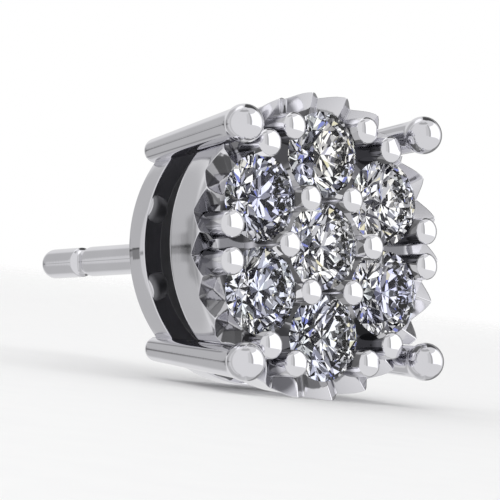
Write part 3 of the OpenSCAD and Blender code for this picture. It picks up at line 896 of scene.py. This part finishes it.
def makeStudio():
    # light = fill + the sum over the panels of its brightness times its mask, seen in the metal alone; the
    # stones see the pattern, diffuse surfaces the soft grey, and the camera the white
    world = bpy.data.worlds.new("studio")
    bpy.context.scene.world = world
    world.use_nodes = True
    tree = world.node_tree
    tree.nodes.clear()
    link = tree.links.new
    out = addNode(tree, "ShaderNodeOutputWorld")
    place = addNode(tree, "ShaderNodeTexCoord")
    top = layTurn @ np.array([0, 1, 0])
    towards = back - top * (back @ top)
    towards = towards / np.linalg.norm(towards)
    across = np.cross(top, towards)

    def along(vector):
        dot = addNode(tree, "ShaderNodeVectorMath", operation="DOT_PRODUCT", inputs={1: tuple(vector)})
        link(place.outputs["Generated"], dot.inputs[0])
        return dot.outputs["Value"]

    azimuth = mathNode(tree, "MULTIPLY", mathNode(tree, "ARCTAN2", along(across), along(towards)), 360 / turn)
    elevation = mathNode(tree, "MULTIPLY", mathNode(tree, "ARCSINE", along(top)), 360 / turn)

    def between(value, low, high, soft):
        def step(a, b):
            node = addNode(tree, "ShaderNodeMapRange", interpolation_type="SMOOTHSTEP",
                           inputs={"From Min": a, "From Max": b})
            link(value, node.inputs["Value"])
            return node.outputs[0]
        rise, drop = step(low - soft, low + soft), step(high + soft, high - soft)
        return mathNode(tree, "MULTIPLY", rise, drop)

    light = studio["fill"]
    for left, rightward, low, high, soft, bright in studio["panels"]:
        mask = mathNode(tree, "MULTIPLY", between(elevation, low, high, soft),
                        between(azimuth, left, rightward, soft))
        light = mathNode(tree, "ADD", light, mathNode(tree, "MULTIPLY", mask, bright))
    light = mathNode(tree, "MAXIMUM", light, studio["least"])
    metalSky = addNode(tree, "ShaderNodeBackground")
    link(light, metalSky.inputs["Color"])

    # the stones' share: dark ground with white and faintly coloured shapes
    cells = addNode(tree, "ShaderNodeTexVoronoi", inputs={"Scale": studio["pattern"], "Randomness": 1.0})
    link(place.outputs["Generated"], cells.inputs["Vector"])
    ramp = addNode(tree, "ShaderNodeValToRGB")
    ramp.color_ramp.interpolation = "CONSTANT"
    for i, (at, colour) in enumerate(studio["stops"]):
        stop = ramp.color_ramp.elements[i] if i < 2 else ramp.color_ramp.elements.new(at)
        stop.position = at
        stop.color = (*colour, 1)
    parted = addNode(tree, "ShaderNodeSeparateColor")
    link(cells.outputs["Color"], parted.inputs[0])
    link(parted.outputs[0], ramp.inputs[0])
    stoneSky = addNode(tree, "ShaderNodeBackground")
    link(ramp.outputs["Color"], stoneSky.inputs["Color"])

    def plainSky(grey):
        return addNode(tree, "ShaderNodeBackground", inputs={"Color": (grey, grey, grey, 1)}).outputs[0]

    rays = addNode(tree, "ShaderNodeLightPath")
    seen = metalSky.outputs[0]
    for kind, sky in [("Is Transmission Ray", stoneSky.outputs[0]),
                      ("Is Diffuse Ray", plainSky(studio["soft"])),
                      ("Is Camera Ray", plainSky(studio["white"]))]:
        mixed = addNode(tree, "ShaderNodeMixShader")
        link(rays.outputs[kind], mixed.inputs[0])
        link(seen, mixed.inputs[1])
        link(sky, mixed.inputs[2])
        seen = mixed.outputs[0]
    link(seen, out.inputs["Surface"])


makeStudio()

# Lamps: azimuth from the camera and elevation in degrees, distance and size in metres, and watts
lamps = {"keyLight": (40, 65, 0.3, 0.35, 0.16), "fillLight": (-60, 50, 0.35, 0.35, 0.10)}
lampAim = np.array([0, 0, 0.004])


def softLight(name, azimuth, elevation, away, size, watts):
    # a square lamp at lampAim + away (cos(b) cos(e), sin(b) cos(e), sin(e)), facing lampAim
    base, rise = np.arctan2(back[1], back[0]) + np.radians(azimuth), np.radians(elevation)
    line = np.array([np.cos(base) * np.cos(rise), np.sin(base) * np.cos(rise), np.sin(rise)])
    lamp = bpy.data.lights.new(name, "AREA")
    lamp.size = size
    lamp.energy = watts
    holder = addObject(name, lamp)
    holder.location = Vector((lampAim + line * away).tolist())
    holder.rotation_euler = Vector(line.tolist()).to_track_quat("Z", "Y").to_euler()
    holder.visible_glossy = False
    holder.visible_transmission = False


for name, values in lamps.items():
    softLight(name, *values)

scene = bpy.context.scene
scene.view_settings.view_transform = "Standard"
scene.cycles.max_bounces = 24
scene.cycles.transmission_bounces = 20
scene.cycles.glossy_bounces = 8
scene.cycles.use_denoising = True
